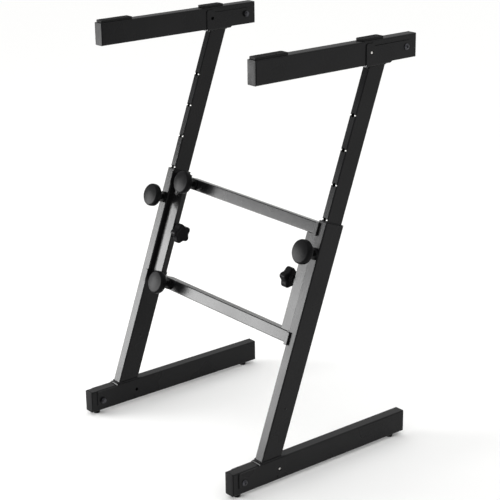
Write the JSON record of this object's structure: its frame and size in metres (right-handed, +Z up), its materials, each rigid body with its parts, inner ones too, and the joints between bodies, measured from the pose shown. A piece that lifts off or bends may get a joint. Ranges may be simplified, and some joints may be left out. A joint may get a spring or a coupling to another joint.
{
  "type": "keyboard stand",
  "caption": "Folding Z-shaped keyboard stand with telescoping masts, swing-away arms and bases, and an H-frame of crossbars adjustable for width.",
  "frame": {"origin": "on the floor under the middle of the stand's bounding box", "axes": "+Z up; +X from the left side frame to the right one; -Y the front, towards the free ends of the arms"},
  "size_m": [0.5792, 0.4958, 0.9104],
  "materials": {
    "powder_coat": "fine satin powder coat",
    "plastic": "fine moulded grain",
    "rubber": "matt",
    "zinc": "bright zinc"
  },
  "bodies": {
    "left_frame": {"left_upright": "powder_coat", "left_collar": "plastic", "left_base_bracket": "powder_coat", "left_base_pivot_bolt": "zinc", "left_height_housing": "powder_coat", "left_height_spring": "zinc", "left_stile": "powder_coat", "left_upper_saddle": "plastic", "left_lower_saddle": "plastic", "upper_inner_bar": "powder_coat", "lower_inner_bar": "powder_coat"},
    "left_base": {"left_base_tube": "powder_coat", "left_base_pivot_end_cap": "plastic", "left_base_free_end_cap": "plastic", "left_front_foot": "rubber", "left_rear_foot": "rubber"},
    "left_mast_set": {"left_mast": "powder_coat", "left_mast_glide": "plastic", "left_arm_bracket": "powder_coat", "left_arm_pivot_bolt": "zinc"},
    "left_arm": {"left_arm_tube": "powder_coat", "left_arm_pivot_end_cap": "plastic", "left_arm_free_end_cap": "plastic", "left_front_pad": "rubber", "left_rear_pad": "rubber"},
    "left_height_pull": {"left_height_knob": "plastic"},
    "left_star": {"left_star_knob": "plastic"},
    "right_frame": {"right_upright": "powder_coat", "right_collar": "plastic", "right_base_bracket": "powder_coat", "right_base_pivot_bolt": "zinc", "right_height_housing": "powder_coat", "right_height_spring": "zinc", "right_stile": "powder_coat", "right_upper_saddle": "plastic", "right_lower_saddle": "plastic", "upper_outer_crossbar": "powder_coat", "lower_outer_crossbar": "powder_coat", "upper_width_housing": "powder_coat", "lower_width_housing": "powder_coat", "upper_width_spring": "zinc", "lower_width_spring": "zinc"},
    "right_base": {"right_base_tube": "powder_coat", "right_base_pivot_end_cap": "plastic", "right_base_free_end_cap": "plastic", "right_front_foot": "rubber", "right_rear_foot": "rubber"},
    "right_mast_set": {"right_mast": "powder_coat", "right_mast_glide": "plastic", "right_arm_bracket": "powder_coat", "right_arm_pivot_bolt": "zinc"},
    "right_arm": {"right_arm_tube": "powder_coat", "right_arm_pivot_end_cap": "plastic", "right_arm_free_end_cap": "plastic", "right_front_pad": "rubber", "right_rear_pad": "rubber"},
    "right_height_pull": {"right_height_knob": "plastic"},
    "right_star": {"right_star_knob": "plastic"},
    "upper_width_pull": {"upper_width_knob": "plastic"},
    "lower_width_pull": {"lower_width_knob": "plastic"}
  },
  "joints": [
    {"name": "left_base_fold", "type": "hinge", "parent": "left_frame", "child": "left_base", "pos_m": [-0.2636, -0.2184, 0.033], "axis": [1, 0, 0], "range_deg": [-289.88, 0]},
    {"name": "left_mast_slide", "type": "slide", "parent": "left_frame", "child": "left_mast_set", "axis": [0, 0.3401, 0.9404], "range_m": [-0.2924, 0]},
    {"name": "left_arm_fold", "type": "hinge", "parent": "left_mast_set", "child": "left_arm", "pos_m": [-0.2636, 0.2184, 0.88044], "axis": [1, 0, 0], "range_deg": [-289.88, 0]},
    {"name": "left_height_release", "type": "slide", "parent": "left_frame", "child": "left_height_pull", "axis": [0, -0.9404, 0.3401], "range_m": [-0.005, 0.003], "stiffness_N_per_m": 300, "springref_m": -0.005, "deforming": ["left_height_spring"]},
    {"name": "left_star_turn", "type": "hinge", "parent": "left_frame", "child": "left_star", "pos_m": [-0.2636, -0.02387, 0.41276], "axis": [1, 0, 0], "continuous": true},
    {"name": "right_base_fold", "type": "hinge", "parent": "right_frame", "child": "right_base", "pos_m": [0.2636, -0.2184, 0.033], "axis": [1, 0, 0], "range_deg": [-289.88, 0]},
    {"name": "right_mast_slide", "type": "slide", "parent": "right_frame", "child": "right_mast_set", "axis": [0, 0.3401, 0.9404], "range_m": [-0.2924, 0]},
    {"name": "right_arm_fold", "type": "hinge", "parent": "right_mast_set", "child": "right_arm", "pos_m": [0.2636, 0.2184, 0.88044], "axis": [1, 0, 0], "range_deg": [-289.88, 0]},
    {"name": "right_height_release", "type": "slide", "parent": "right_frame", "child": "right_height_pull", "axis": [0, -0.9404, 0.3401], "range_m": [-0.005, 0.003], "stiffness_N_per_m": 300, "springref_m": -0.005, "deforming": ["right_height_spring"]},
    {"name": "right_star_turn", "type": "hinge", "parent": "right_frame", "child": "right_star", "pos_m": [0.2636, -0.02387, 0.41276], "axis": [1, 0, 0], "continuous": true},
    {"name": "width_slide", "type": "slide", "parent": "left_frame", "child": "right_frame", "axis": [1, 0, 0], "range_m": [0, 0.2]},
    {"name": "upper_width_release", "type": "slide", "parent": "right_frame", "child": "upper_width_pull", "axis": [0, -0.9404, 0.3401], "range_m": [-0.005, 0.003], "stiffness_N_per_m": 300, "springref_m": -0.005, "deforming": ["upper_width_spring"]},
    {"name": "lower_width_release", "type": "slide", "parent": "right_frame", "child": "lower_width_pull", "axis": [0, -0.9404, 0.3401], "range_m": [-0.005, 0.003], "stiffness_N_per_m": 300, "springref_m": -0.005, "deforming": ["lower_width_spring"]}
  ]
}
